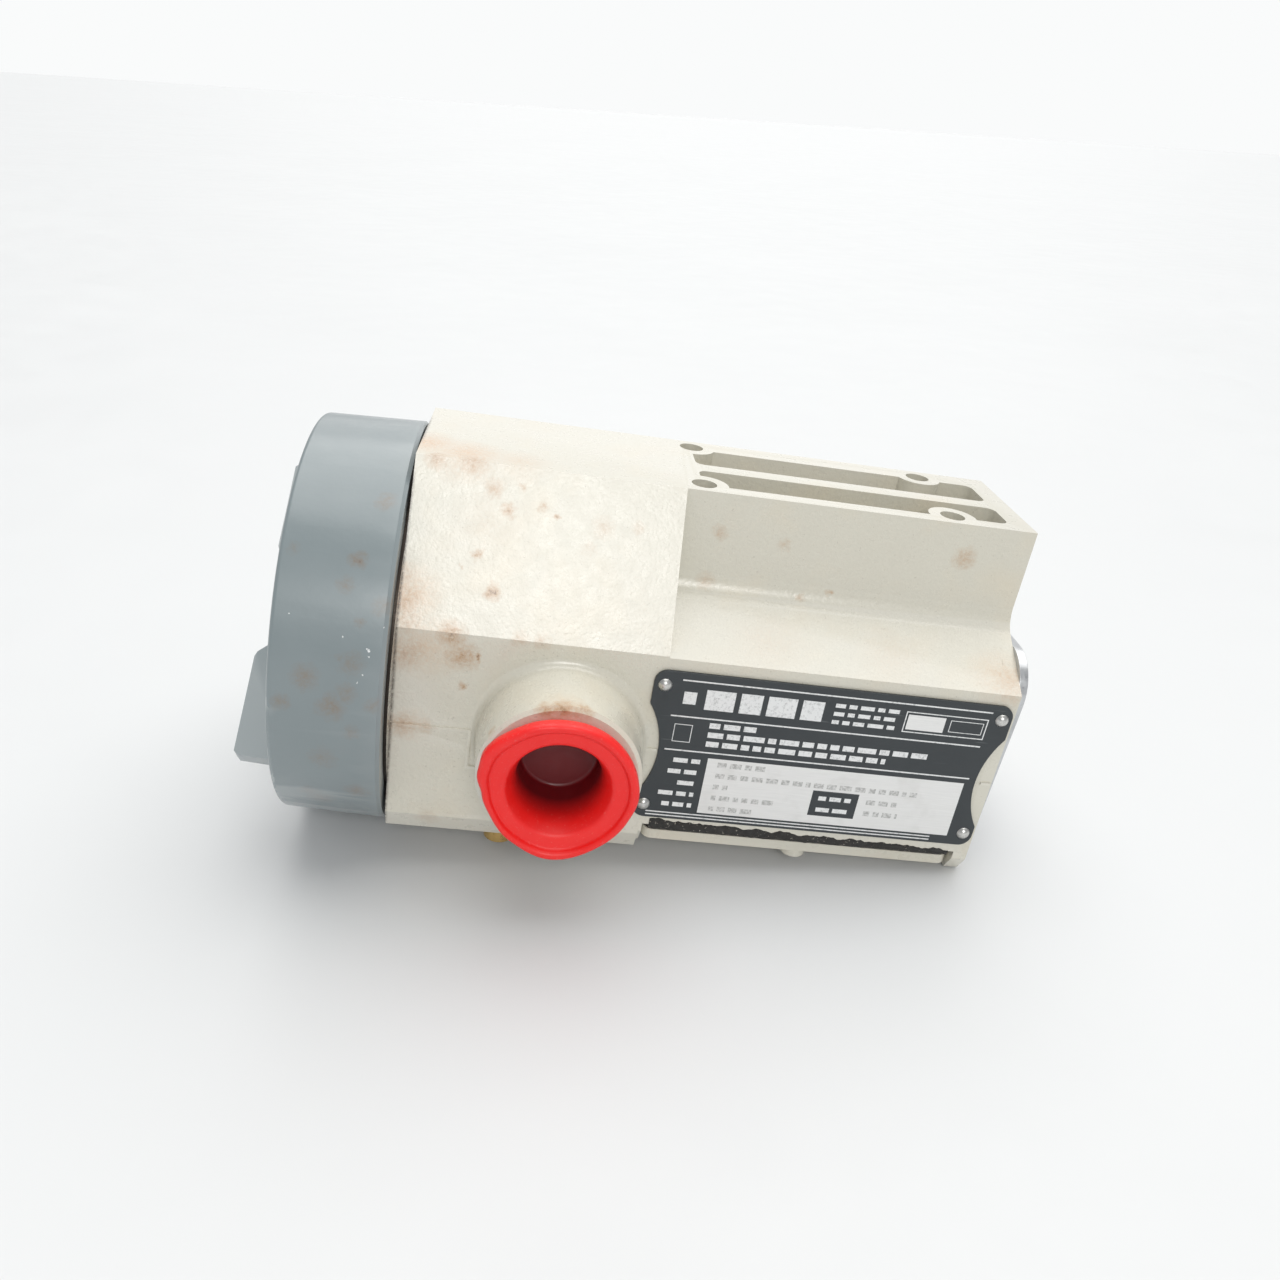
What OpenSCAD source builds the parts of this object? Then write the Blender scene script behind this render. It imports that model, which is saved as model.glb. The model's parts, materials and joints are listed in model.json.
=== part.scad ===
// Explosion-proof diaphragm pressure switch, as separate pieces.
// X runs along the device from the screw cover to the pressure port, Z leaves the mounting pad,
// and the conduit hub points along -Y. The origin is the centre of the four mounting holes.

/* [Housing] */
// Length of the casting from the cover joint to the port end
body_len = 164.3; // [140:0.1:190]
// Length of the wide part that holds the switch chamber
block_len = 69; // [55:0.5:80]
// Half width of the casting
side_y = 42.6; // [38:0.1:48]
// Height of the mounting pad above the cover axis
pad_z = 57; // [50:0.1:64]
// Half width of the mounting pad
pad_y = 22.4; // [18:0.1:28]
// Height of the side face's top edge at the block
shoulder_z = 18.5; // [12:0.1:26]
// Height where the pad wall meets the sloping ledge
ledge_z = 30.4; // [24:0.1:36]
// Depth of the front face at the block
front_z = 43.5; // [38:0.1:48]
// Depth of the front face at the port end
foot_z = 41; // [36:0.1:46]
// Radius of the concave fillet between pad wall and ledge
ledge_fillet = 8; // [3:0.5:12]
// Radius of the switch chamber
chamber_r = 36; // [30:0.5:38]
// Depth of the switch chamber from the cover joint
chamber_len = 58; // [50:0.5:62]
// Radius of the threaded neck under the cover
neck_r = 50.2; // [46:0.1:52]
// Length of the threaded neck
neck_len = 17.5; // [12:0.5:22]

/* [Mounting pad] */
// Hole spacing along the device
hole_dx = 68.3; // [50:0.1:80]
// Hole spacing across the device
hole_dy = 33.3; // [25:0.1:40]
// Radius of the tapped mounting holes
hole_r = 3.4; // [2.5:0.1:4.5]
// Depth of the tapped mounting holes
hole_depth = 16; // [10:1:22]
// Position of the hole pattern's centre along the device
hole_mid_x = 108.1; // [100:0.1:116]
// Depth of the two core pockets
pocket_depth = 28; // [6:1:30]

/* [Cover] */
// Outer radius of the screw cover
cover_r = 56.8; // [52:0.1:60]
// Length of the screw cover
cover_len = 28.5; // [22:0.5:36]
// Gap between cover and casting
cover_gap = 0.8; // [0.4:0.1:2]
// Thickness of the cover's end wall
cover_wall = 6; // [4:0.5:9]
// Pitch of the cover thread
thread_pitch = 3; // [2:0.5:4]
// Radius of the cover's outer end edge
cover_edge = 1.2; // [0.5:0.1:5]
// Height of the two wrench lugs
lug_h = 12.5; // [8:0.5:16]
// Width of the two wrench lugs
lug_w = 5.5; // [4:0.5:16]
// Angle of the wrench lugs about the cover axis
lug_angle = 39; // [0:1:180]

/* [Conduit hub] */
// Position of the hub along the device
hub_x = 44; // [38:0.5:50]
// Height of the hub, port and rod axis below the cover axis
axis_drop = 9.5; // [0:0.5:14]
// Distance the plug's flange stands off the hub's face
plug_proud = 3.1; // [0.1:0.1:5]
// Radius of the hub at its face
hub_face_r = 20.7; // [18:0.1:25]
// Radius of the hub at its base
hub_base_r = 22.2; // [20:0.1:28]
// Height of the hub above the side face
hub_h = 18.8; // [12:0.1:24]
// Radius of the conduit bore
conduit_r = 12.8; // [10:0.1:16]

/* [Nameplate] */
// Length of the nameplate
plate_len = 97.4; // [80:0.1:110]
// Height of the nameplate
plate_h = 45.4; // [36:0.1:50]
// Thickness of the nameplate
plate_t = 0.9; // [0.5:0.1:1.5]
// Radius of the scallop that clears the hub
scallop_r = 26.3; // [25:0.1:30]

/* [Adjustment cover] */
// Length of the adjustment cover plate
adj_len = 89.4; // [70:0.1:95]
// Half width of the adjustment cover plate
adj_y = 41.4; // [36:0.1:42.6]
// Thickness of the adjustment cover plate
adj_t = 3; // [2:0.1:4]
// Thickness of the gasket under it
gasket_t = 2.4; // [1:0.1:3]

/* [Pressure end] */
// Outer radius of the port flange, seal and diaphragm seat
seat_r = 22.5; // [18:0.1:24]
// Radius of the pressure piston
piston_r = 17; // [12:0.1:20]
// Radius of the pressure port's thread
port_r = 5.7; // [4:0.1:8]
// Thickness of the clamp plate
clamp_t = 2.5; // [2:0.1:5]

/* [Range spring] */
// Wire radius of the range spring
wire_r = 1.5; // [1:0.1:2.2]
// Mean radius of the range spring
coil_r = 12; // [10:0.1:14]
// Number of coils
coil_turns = 8; // [5:1:10]
// Radius of the operating rod
rod_r = 3; // [2:0.1:4]
// Outer radius of the guide sleeve
sleeve_r = 9; // [7:0.1:10]

/* [Hidden] */
$fn = 64;
eps = 0.01;
snug = 0.1;
axis_z = -axis_drop;
hub_y = -(side_y + hub_h);
recess_x0 = 69.8;
recess_x1 = 160.2;
recess_z = -33.6;
vault_x0 = 79;
vault_x1 = 149;
vault_y = 34;
vault_z = 14;
seat_x = 157;
switch_x = [22, 46];
switch_y = [-21.6, 27.6];
switch_h = 17.5;
switch_mid = (switch_y[0] + switch_y[1]) / 2;
leg_t = 2;
leg_z = axis_z - switch_h / 2 - leg_t;
deck_z = 2;
block_x = [26, 44];
block_h = 12;
wire_y = [-14, 3, 20];
rod_tip = 50;
nut_x = 87;
nut_h = 8;
seat_t = 2;
spring_x = [nut_x + nut_h + seat_t + 0.1, 150.9];
ear_top = [28.5, 14.5];
ear_low = [26, -29];
ear_r = 12;
clamp_screw = [[27, 13], [25.5, -28.5]];
rivet_x = [68.95, 160.67];
rivet_z = [-26.4, 10.7];
plate_x0 = 66;
plate_z0 = -30.5;
adj_screw = [[115, 37.6], [115, -37.6], [74.6, 0], [153.6, 0]];
bracket_screw = [[17, 9], [-17, 9], [17.5, -13.5], [-17.5, -13.5]];

// ---- helpers -------------------------------------------------------------

// Moves a piece from the cover axis frame to the mounting pattern's frame.
module placed() {
  translate([-hole_mid_x, 0, -pad_z]) children();
}

module x_cyl(x0, x1, r, y = 0, z = 0) {
  translate([x0, y, z]) rotate([0, 90, 0]) cylinder(h = x1 - x0, r = r);
}

module y_cyl(y0, y1, r, x = 0, z = 0) {
  translate([x, y0, z]) rotate([-90, 0, 0]) cylinder(h = y1 - y0, r = r);
}

// Extrudes a (y, z) profile along X.
module x_prism(x0, x1) {
  translate([x0, 0, 0]) rotate([90, 0, 90]) linear_extrude(height = x1 - x0) children();
}

// Extrudes an (x, z) profile along -Y, from y0 outwards.
module y_plate(y0, t) {
  translate([0, y0, 0]) rotate([90, 0, 0]) linear_extrude(height = t) children();
}

// Turns a (radius, height) profile about the X axis.
module x_turn(x0 = 0, z = 0) {
  translate([x0, 0, z]) rotate([0, 90, 0]) rotate_extrude() children();
}

module ring(r, wire) {
  rotate_extrude() translate([r, 0]) circle(r = wire);
}

module block_box(x, y, z) {
  translate([x[0], y[0], z[0]]) cube([x[1] - x[0], y[1] - y[0], z[1] - z[0]]);
}

module both_sides() {
  children();
  mirror([1, 0]) children();
}

// V grooves of one thread, as (radius, height) cuts from height h0 for n turns.
module thread_cuts(r, depth, h0, n) {
  for (i = [0 : n - 1])
    translate([0, h0 + i * thread_pitch])
      polygon([[r + 0.2, -1.3], [r + 0.2, 1.3], [r, 1.1], [r - depth, 0.15],
        [r - depth, -0.15], [r, -1.1]]);
}

module slot(r, w, d) {
  translate([-r - 1, -w / 2, -eps]) cube([2 * r + 2, w, d + eps]);
}

// ---- casting -------------------------------------------------------------

module block_profile() {
  both_sides() polygon([[0, pad_z], [pad_y, pad_z], [side_y, shoulder_z], [side_y, -37.2],
    [side_y - 3.3, -front_z], [0, -front_z]]);
}

// Narrow pad on a wider base, joined by a sloping ledge and a concave fillet.
module rail_profile() {
  slope = atan2(ledge_z - 18.1, side_y - pad_y);
  tangent = ledge_fillet * tan((90 - slope) / 2);
  both_sides() {
    polygon([[0, pad_z], [pad_y, pad_z], [pad_y, ledge_z], [side_y, 18.1], [side_y, -36],
      [side_y - 3, -foot_z], [0, -foot_z]]);
    difference() {
      polygon([[pad_y - 0.5, ledge_z - 0.5], [pad_y - 0.5, ledge_z + tangent],
        [pad_y + ledge_fillet, ledge_z + tangent],
        [pad_y + tangent * cos(slope), ledge_z - tangent * sin(slope)]]);
      translate([pad_y + ledge_fillet, ledge_z + tangent]) circle(r = ledge_fillet);
    }
  }
}

// Round corner of the four-eared outline, as points from angle a0 to a1.
function corner(c, r, a0, a1) =
  [for (i = [0 : 16]) let(a = a0 + (a1 - a0) * i / 16) [c[0] + r * cos(a), c[1] + r * sin(a)]];

// Four-eared outline shared by the casting's port flange and the clamp plate.
module ear_profile(grow = 0) {
  r = ear_r + grow;
  lean = atan2(ear_top[0] - ear_low[0], ear_top[1] - ear_low[1]);
  right = concat(corner(ear_low, r, -90, -lean), corner(ear_top, r, -lean, 90));
  polygon(concat(right, [for (i = [len(right) - 1 : -1 : 0]) [-right[i][0], right[i][1]]]));
}

module hub_shape() {
  lean = atan2(hub_base_r - hub_face_r, hub_h);
  fillet = 2.5;
  fx = hub_base_r + fillet * (1 - sin(lean)) / cos(lean);
  translate([hub_x, -side_y, axis_z]) rotate([90, 0, 0]) rotate_extrude() {
    polygon([[0, -8], [hub_base_r, -8], [hub_base_r, 0], [hub_face_r + 0.15, hub_h - 1],
      [hub_face_r - 0.8, hub_h], [0, hub_h]]);
    difference() {
      polygon([[hub_base_r - 1, -1], [fx, -1], [fx, fillet],
        [fx - fillet * cos(lean), fillet * (1 - sin(lean))], [hub_base_r - 1, fillet]]);
      translate([fx, fillet]) circle(r = fillet);
    }
  }
}

// Core pocket between the mounting bosses, in pad coordinates.
module pocket_profile(y0, y1) {
  r = 2.5;
  x0 = 73.6;
  x1 = 158;
  difference() {
    union() {
      translate([x0 + r, y0]) square([x1 - x0 - 2 * r, y1 - y0]);
      translate([x0, y0 + r]) square([x1 - x0, y1 - y0 - 2 * r]);
      for (x = [x0 + r, x1 - r], y = [y0 + r, y1 - r]) translate([x, y]) circle(r = r);
    }
    for (sx = [-1, 1], sy = [-1, 1])
      translate([hole_mid_x + sx * hole_dx / 2, sy * hole_dy / 2]) circle(r = 6.6);
  }
}

// Fine raised line left where the two halves of the mould met.
module parting_bead(x0, x1, z) {
  translate([x0, -side_y - 0.5, z - 0.4]) cube([x1 - x0, 1, 0.8]);
}

module housing() {
  color("Beige") placed() difference() {
    union() {
      x_prism(0, block_len) block_profile();
      x_prism(block_len - 1, body_len) rail_profile();
      x_prism(160.4, body_len) ear_profile(-1.5);
      x_cyl(-neck_len, 0, neck_r);
      hub_shape();
      parting_bead(0.5, 20.8, -9.3);
      translate([20, -side_y - 0.5, -20.8]) cube([0.8, 1, 11.9]);
      parting_bead(20, 24, -20.4);
      parting_bead(66, 70, -21.6);
      parting_bead(66, 70, -9.4);
      parting_bead(161, body_len - 0.6, -9.9);
    }
    x_turn(0) neck_thread();
    x_cyl(-neck_len - 1, 2, 42);
    x_cyl(1, chamber_len, chamber_r);
    y_cyl(hub_y - 1, -25, conduit_r, hub_x, axis_z);
    y_cyl(hub_y - 1, hub_y + 1.2, conduit_r + 0.9, hub_x, axis_z);
    x_cyl(chamber_len - 1, vault_x0 + 1, sleeve_r + snug, 0, axis_z);
    block_box([vault_x0, vault_x1], [-vault_y, vault_y], [-60, vault_z]);
    block_box([recess_x0, recess_x1], [-60, 60], [-60, recess_z]);
    x_cyl(vault_x1 - 1, seat_x + 1, piston_r + 0.08, 0, axis_z);
    x_cyl(seat_x, body_len + 1, seat_r, 0, axis_z);
    pad_cuts();
    for (p = clamp_screw, s = [-1, 1]) x_cyl(151, body_len + 1, 2.5 + snug, s * p[0], p[1]);
    for (p = adj_screw) translate([p[0], p[1], recess_z - 1]) cylinder(h = 8, r = 2.4);
    for (p = bracket_screw) x_cyl(chamber_len - 1, chamber_len + 8, 2 + snug, p[0], p[1]);
    for (x = rivet_x, z = rivet_z) y_cyl(-side_y - 1, -side_y + 4, 0.9 + snug, x, z);
    x_cyl(chamber_len - 1, chamber_len + 8, 2.5 + snug, -20, 22);
    translate([31, -34.2, -front_z - 1]) cylinder(h = 10, r = 2.5 + snug);
  }
}

module neck_thread() {
  thread_cuts(neck_r, 1.1, -15.5, 4);
}

module pad_cuts() {
  translate([0, 0, pad_z - pocket_depth]) linear_extrude(height = pocket_depth + 1) {
    pocket_profile(0.6, 14.6);
    pocket_profile(-17.6, -5.2);
  }
  for (sx = [-1, 1], sy = [-1, 1])
    translate([hole_mid_x + sx * hole_dx / 2, sy * hole_dy / 2, pad_z - hole_depth])
      cylinder(h = hole_depth + 1, r = hole_r);
}

// ---- screw cover ---------------------------------------------------------

module lug_profile() {
  polygon([[5, -1], [5, 0], [16, lug_h - 0.6], [17.5, lug_h], [45, lug_h],
    [46, lug_h - 1], [46.8, -1]]);
}

module cover_profile() {
  r = cover_edge;
  difference() {
    union() {
      translate([0, -cover_len]) square([cover_r - 1 - r, cover_len - cover_gap]);
      polygon([[0, -cover_len + r], [cover_r - 1, -cover_len + r], [cover_r, -cover_gap - 1],
        [cover_r - 0.6, -cover_gap], [0, -cover_gap]]);
      translate([cover_r - 1 - r, -cover_len + r]) circle(r = r);
    }
    translate([-eps, -19]) square([neck_r + 0.4, 20]);
    translate([-eps, cover_wall - cover_len]) square([46, cover_len]);
    thread_cuts_in();
    translate([neck_r, -4.3]) square([3.1, 2.6]);
  }
}

module thread_cuts_in() {
  for (i = [0 : 3])
    translate([neck_r + 0.4, -15.5 + i * thread_pitch])
      polygon([[-0.2, -1.2], [0, -1.1], [1.1, -0.15], [1.1, 0.15], [0, 1.1], [-0.2, 1.2]]);
}

module cover() {
  color("SlateGray") placed() {
    x_turn() cover_profile();
    for (a = [lug_angle, lug_angle + 180]) rotate([a, 0, 0])
      translate([-cover_len, 0, -lug_w / 2]) rotate([0, 0, 90])
        linear_extrude(height = lug_w) lug_profile();
  }
}

module cover_o_ring() {
  color("DimGray") placed() translate([-3, 0, 0]) rotate([0, 90, 0]) ring(neck_r + 1.75, 1.25);
}

// ---- conduit plug --------------------------------------------------------

// The tapered plug wedges in the mouth of the hub and leaves its flange standing proud.
module conduit_plug() {
  flange = 19.7;
  color("Red") placed() translate([hub_x, hub_y - plug_proud, axis_z]) rotate([90, 0, 0])
    rotate_extrude() difference() {
      union() {
        polygon([[0, -17.5], [11, -17.5], [11.8, -16.7], [12.35, -plug_proud - 1.2],
          [12.5, -plug_proud], [14, 0], [14, 2], [0, 2]]);
        square([flange, 2]);
        translate([flange - 2.4, 0]) square([2.4, 2.6]);
        translate([flange - 1.2, 2.6]) circle(r = 1.2);
      }
      polygon([[-1, -15.9], [10.3, -15.9], [10.9, -plug_proud - 1.2], [11.2, -plug_proud],
        [12.9, 1.4], [13.6, 2.1], [13.6, 3], [-1, 3]]);
    }
}

// ---- nameplate -----------------------------------------------------------

module nameplate_profile() {
  r = 3.5;
  difference() {
    translate([plate_x0, plate_z0]) union() {
      translate([r, 0]) square([plate_len - 2 * r, plate_h]);
      translate([0, r]) square([plate_len, plate_h - 2 * r]);
      for (x = [r, plate_len - r], z = [r, plate_h - r]) translate([x, z]) circle(r = r);
    }
    translate([hub_x, axis_z]) circle(r = scallop_r);
    translate([2 * plate_x0 + plate_len - hub_x, axis_z]) circle(r = scallop_r);
    for (x = rivet_x, z = rivet_z) translate([x, z]) circle(r = 0.9 + snug);
  }
}

module nameplate() {
  color("DarkSlateGray") placed() y_plate(-side_y, plate_t) nameplate_profile();
}

module nameplate_rivets() {
  head = 1.85;
  color("Silver") placed() for (x = rivet_x, z = rivet_z)
    translate([x, -side_y - plate_t, z]) rotate([90, 0, 0]) rotate_extrude() {
      intersection() {
        translate([0, -1.0]) circle(r = 2.1);
        square([head, 2]);
      }
      translate([0, -4.6]) square([0.9, 4.7]);
    }
}

// ---- adjustment cover ----------------------------------------------------

module adj_profile(inset = 0) {
  r = 3 - inset;
  x0 = recess_x0 + 0.5 + inset;
  len = adj_len - 2 * inset;
  half = adj_y - inset;
  translate([x0 + r, -half]) square([len - 2 * r, 2 * half]);
  translate([x0, -half + r]) square([len, 2 * half - 2 * r]);
  for (x = [x0 + r, x0 + len - r], y = [-half + r, half - r]) translate([x, y]) circle(r = r);
}

module adj_screw_holes(r) {
  for (p = adj_screw) translate(p) circle(r = r);
}

module adjustment_gasket() {
  color("Black") placed() translate([0, 0, recess_z - gasket_t])
    linear_extrude(height = gasket_t) difference() {
      adj_profile(0.4);
      translate([vault_x0 + 0.5, -vault_y + 0.5])
        square([vault_x1 - vault_x0 - 1, 2 * vault_y - 1]);
      adj_screw_holes(2.4);
    }
}

module adjustment_cover() {
  z0 = recess_z - gasket_t - 0.05 - adj_t;
  color("Beige") placed() translate([0, 0, z0]) linear_extrude(height = adj_t) difference() {
    adj_profile();
    adj_screw_holes(2.3);
  }
}

module adjustment_screws() {
  z0 = recess_z - gasket_t - 0.05 - adj_t;
  color("Silver") placed() for (p = adj_screw) translate([p[0], p[1], z0]) {
    difference() {
      translate([0, 0, -2.4]) cylinder(h = 2.4, r = 3.6);
      translate([0, 0, -2.4]) slot(3.6, 0.9, 1.2);
    }
    translate([0, 0, -eps]) cylinder(h = 9, r = 2);
  }
}

// ---- pressure end --------------------------------------------------------

module clamp_plate() {
  color("LightSteelBlue") placed() difference() {
    x_prism(body_len, body_len + clamp_t) ear_profile();
    x_cyl(body_len - 1, body_len + clamp_t + 1, 12.3, 0, axis_z);
    for (p = clamp_screw, s = [-1, 1])
      x_cyl(body_len - 1, body_len + clamp_t + 1, 2.6, s * p[0], p[1]);
  }
}

module clamp_screws() {
  x0 = body_len + clamp_t;
  color("Silver") placed() for (p = clamp_screw, s = [-1, 1]) {
    translate([x0, s * p[0], p[1]]) rotate([0, 90, 0]) cylinder(h = 3.4, r = 4.6, $fn = 6);
    x_cyl(152, x0 + eps, 2.5, s * p[0], p[1]);
  }
}

module pressure_port() {
  x0 = seat_x + 1;
  hex_x = body_len + clamp_t + 1.4;
  color("LightSteelBlue") placed() difference() {
    union() {
      x_cyl(x0, body_len, seat_r - 0.2, 0, axis_z);
      x_cyl(x0, hex_x, 12, 0, axis_z);
      translate([hex_x, 0, axis_z]) rotate([0, 90, 0]) cylinder(h = 12.2, r = 13.8, $fn = 6);
    }
    x_cyl(x0 - 1, x0 + 2, 15, 0, axis_z);
    x_cyl(x0, hex_x + 14, port_r, 0, axis_z);
    x_turn(x0, axis_z) translate([17.6, -1]) square([3.1, 3]);
  }
}

module port_o_ring() {
  color("DimGray") placed() translate([seat_x + 2, 0, axis_z]) rotate([0, 90, 0]) ring(19.15, 1);
}

module diaphragm() {
  color("SaddleBrown") placed() x_cyl(seat_x, seat_x + 1, seat_r - 0.2, 0, axis_z);
}

module pressure_piston() {
  color("Silver") placed() difference() {
    union() {
      x_cyl(151, seat_x - 0.05, piston_r, 0, axis_z);
      x_cyl(146, 151.5, 6, 0, axis_z);
    }
    x_cyl(145, 154.1, rod_r + 0.05, 0, axis_z);
  }
}

module operating_rod() {
  color("Silver") placed() {
    x_cyl(rod_tip + 1, 154, rod_r, 0, axis_z);
    x_cyl(rod_tip, rod_tip + 1 + eps, rod_r - 0.8, 0, axis_z);
  }
}

// ---- range spring and its adjustment ------------------------------------

// One section of the coil seen along its axis: the wire's round cut drawn out over its pitch.
module coil_section(pitch) {
  spread = 2 * wire_r / pitch * 180;
  steps = 6;
  function at(t, side) = let(
    a = t * spread,
    half = wire_r * sqrt(max(0, 1 - t * t)),
    r = coil_r + side * half) [r * cos(a), r * sin(a)];
  polygon(concat(
    [for (i = [0 : steps]) at(sin(-90 + 180 * i / steps), 1)],
    [for (i = [steps - 1 : -1 : 1]) at(sin(-90 + 180 * i / steps), -1)]));
}

module range_spring() {
  length = spring_x[1] - spring_x[0];
  pitch = length / coil_turns;
  color("Gray") placed() translate([spring_x[0], 0, axis_z]) rotate([0, 90, 0])
    linear_extrude(height = length, twist = -360 * coil_turns, slices = 14 * coil_turns, $fn = 12)
      coil_section(pitch);
}

module spring_seat() {
  x0 = nut_x + nut_h + 0.05;
  color("Silver") placed() difference() {
    x_cyl(x0, x0 + seat_t, 14.5, 0, axis_z);
    x_cyl(x0 - 1, x0 + seat_t + 1, sleeve_r + 0.4, 0, axis_z);
  }
}

module adjusting_nut() {
  color("Goldenrod") placed() difference() {
    translate([nut_x, 0, axis_z]) rotate([0, 90, 0]) cylinder(h = nut_h, r = 19, $fn = 6);
    x_cyl(nut_x - 1, nut_x + nut_h + 1, sleeve_r + 0.3, 0, axis_z);
  }
}

module guide_sleeve() {
  color("Goldenrod") placed() difference() {
    union() {
      x_cyl(chamber_len - 3, chamber_len, 13, 0, axis_z);
      x_cyl(chamber_len - 1, 108, sleeve_r, 0, axis_z);
    }
    x_cyl(chamber_len - 4, 109, rod_r + 0.06, 0, axis_z);
  }
}

// ---- switch assembly -----------------------------------------------------

module switch_bracket() {
  wall_x = chamber_len - leg_t;
  color("Silver") placed() difference() {
    union() {
      block_box([wall_x, chamber_len], [-22, 22], [leg_z, 14]);
      block_box([16, chamber_len], [-18, 24], [leg_z, leg_z + leg_t]);
      block_box([24, chamber_len], [-18, 24], [deck_z, deck_z + leg_t]);
    }
    x_cyl(wall_x - 1, chamber_len + 1, 13.2, 0, axis_z);
    for (p = bracket_screw) x_cyl(wall_x - 1, chamber_len + 1, 2.2, p[0], p[1]);
    for (y = [-12.7, 12.7]) translate([34, switch_mid + y, leg_z - 1])
      cylinder(h = leg_t + 2, r = 1.9);
  }
}

module bracket_screws() {
  x1 = chamber_len - leg_t;
  color("Silver") placed() for (p = bracket_screw) {
    difference() {
      x_cyl(x1 - 2.2, x1, 3.1, p[0], p[1]);
      translate([x1 - 3, p[0] - 4, p[1] - 0.4]) cube([1.8, 8, 0.8]);
    }
    x_cyl(x1 - eps, chamber_len + 7, 2, p[0], p[1]);
  }
}

module snap_switch() {
  color("DarkSlateGray") placed() difference() {
    union() {
      block_box(switch_x, switch_y, [axis_z - switch_h / 2, axis_z + switch_h / 2]);
      x_cyl(switch_x[1] - 1, switch_x[1] + 1.5, 4.5, 0, axis_z);
    }
    x_cyl(40, 50, 2.26, 0, axis_z);
    for (y = [-12.7, 12.7]) translate([34, switch_mid + y, axis_z - 20])
      cylinder(h = 40, r = 1.75 + snug);
    for (y = wire_y) x_cyl(switch_x[0] - 1, switch_x[0] + 4, 1.5 + snug, y, axis_z);
  }
}

module switch_plunger() {
  color("Ivory") placed() x_cyl(42, rod_tip - 0.1, 2.2, 0, axis_z);
}

module switch_screws() {
  color("Silver") placed() for (y = [-12.7, 12.7]) translate([34, switch_mid + y, 0]) {
    difference() {
      translate([0, 0, leg_z - 2.2]) cylinder(h = 2.2, r = 3);
      translate([0, 0, leg_z - 2.2]) slot(3, 0.8, 1);
    }
    translate([0, 0, leg_z - eps]) cylinder(h = 16, r = 1.75);
  }
}

// Screw terminals on the switch's rear face; each also carries one lead's lug.
module switch_terminals() {
  color("Goldenrod") placed() for (y = wire_y) {
    difference() {
      x_cyl(switch_x[0] - 2.6, switch_x[0] - 0.6, 3.2, y, axis_z);
      translate([switch_x[0] - 3, y - 0.4, axis_z - 4]) cube([1.4, 0.8, 8]);
    }
    x_cyl(switch_x[0] - 0.7, switch_x[0] + 3.8, 1.5, y, axis_z);
  }
}

module terminal_block() {
  z0 = deck_z + leg_t;
  color("Black") placed() difference() {
    block_box(block_x, [-18, 24], [z0, z0 + block_h]);
    for (y = wire_y) translate([35, y, z0 + 5]) cylinder(h = block_h, r = 1.6 + snug);
    for (y = wire_y) translate([35, y, z0 + block_h - 2.5]) cylinder(h = 3, r = 3.4);
    for (y = wire_y) x_cyl(block_x[0] - 1, block_x[0] + 5, 1.3, y, z0 + 5);
    for (y = wire_y) x_cyl(block_x[1] - 5, block_x[1] + 1, 2.4, y, z0 + 5);
    for (y = [-5.5, 11.5]) block_box([block_x[0] - 1, block_x[1] + 1], [y - 0.8, y + 0.8],
      [z0 + block_h - 1.6, z0 + block_h + 1]);
  }
}

module terminal_screws() {
  z0 = deck_z + leg_t;
  color("Silver") placed() for (y = wire_y) translate([35, y, z0 + block_h - 2.5]) {
    difference() {
      cylinder(h = 1.8, r = 3);
      translate([-4, -0.4, 1]) cube([8, 0.8, 1]);
    }
    translate([0, 0, -4.4]) cylinder(h = 4.5, r = 1.6);
  }
}

// Three jumpers from the snap switch up and over to the terminal block.
module leads() {
  r = 1.25;
  bend = 4;
  top = deck_z + leg_t + 5;
  x = switch_x[0] - 1.6;
  color("Crimson") placed() for (y = wire_y) {
    translate([x, y, axis_z + 3.2]) cylinder(h = top - bend - axis_z - 3.2, r = r);
    translate([x + bend, y, top - bend]) rotate([90, 0, 180])
      rotate_extrude(angle = 90) translate([bend, 0]) circle(r = r);
    x_cyl(x + bend, block_x[0] + 4.8, r, y, top);
  }
}

module ground_screw() {
  color("SeaGreen") placed() {
    translate([chamber_len - 3.5, -20, 22]) rotate([0, 90, 0]) cylinder(h = 3.5, r = 5, $fn = 6);
    x_cyl(chamber_len - eps, chamber_len + 7, 2.5, -20, 22);
  }
}

module outer_ground_screw() {
  color("Peru") placed() translate([31, -34.2, -front_z]) {
    difference() {
      translate([0, 0, -4]) cylinder(h = 4, r = 4.2);
      translate([0, 0, -4]) slot(4.2, 1, 1.4);
    }
    translate([0, 0, -eps]) cylinder(h = 8.5, r = 2.5);
  }
}

housing();
cover();
cover_o_ring();
conduit_plug();
nameplate();
nameplate_rivets();
adjustment_cover();
adjustment_gasket();
adjustment_screws();
clamp_plate();
clamp_screws();
pressure_port();
port_o_ring();
diaphragm();
pressure_piston();
operating_rod();
range_spring();
spring_seat();
adjusting_nut();
guide_sleeve();
switch_bracket();
bracket_screws();
snap_switch();
switch_plunger();
switch_screws();
switch_terminals();
terminal_block();
terminal_screws();
leads();
ground_screw();
outer_ground_screw();
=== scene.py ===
"""Looks of the explosion-proof pressure switch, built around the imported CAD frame."""

import json
import math
import random

import bmesh
import bpy
from mathutils import Matrix, Vector, noise


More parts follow.
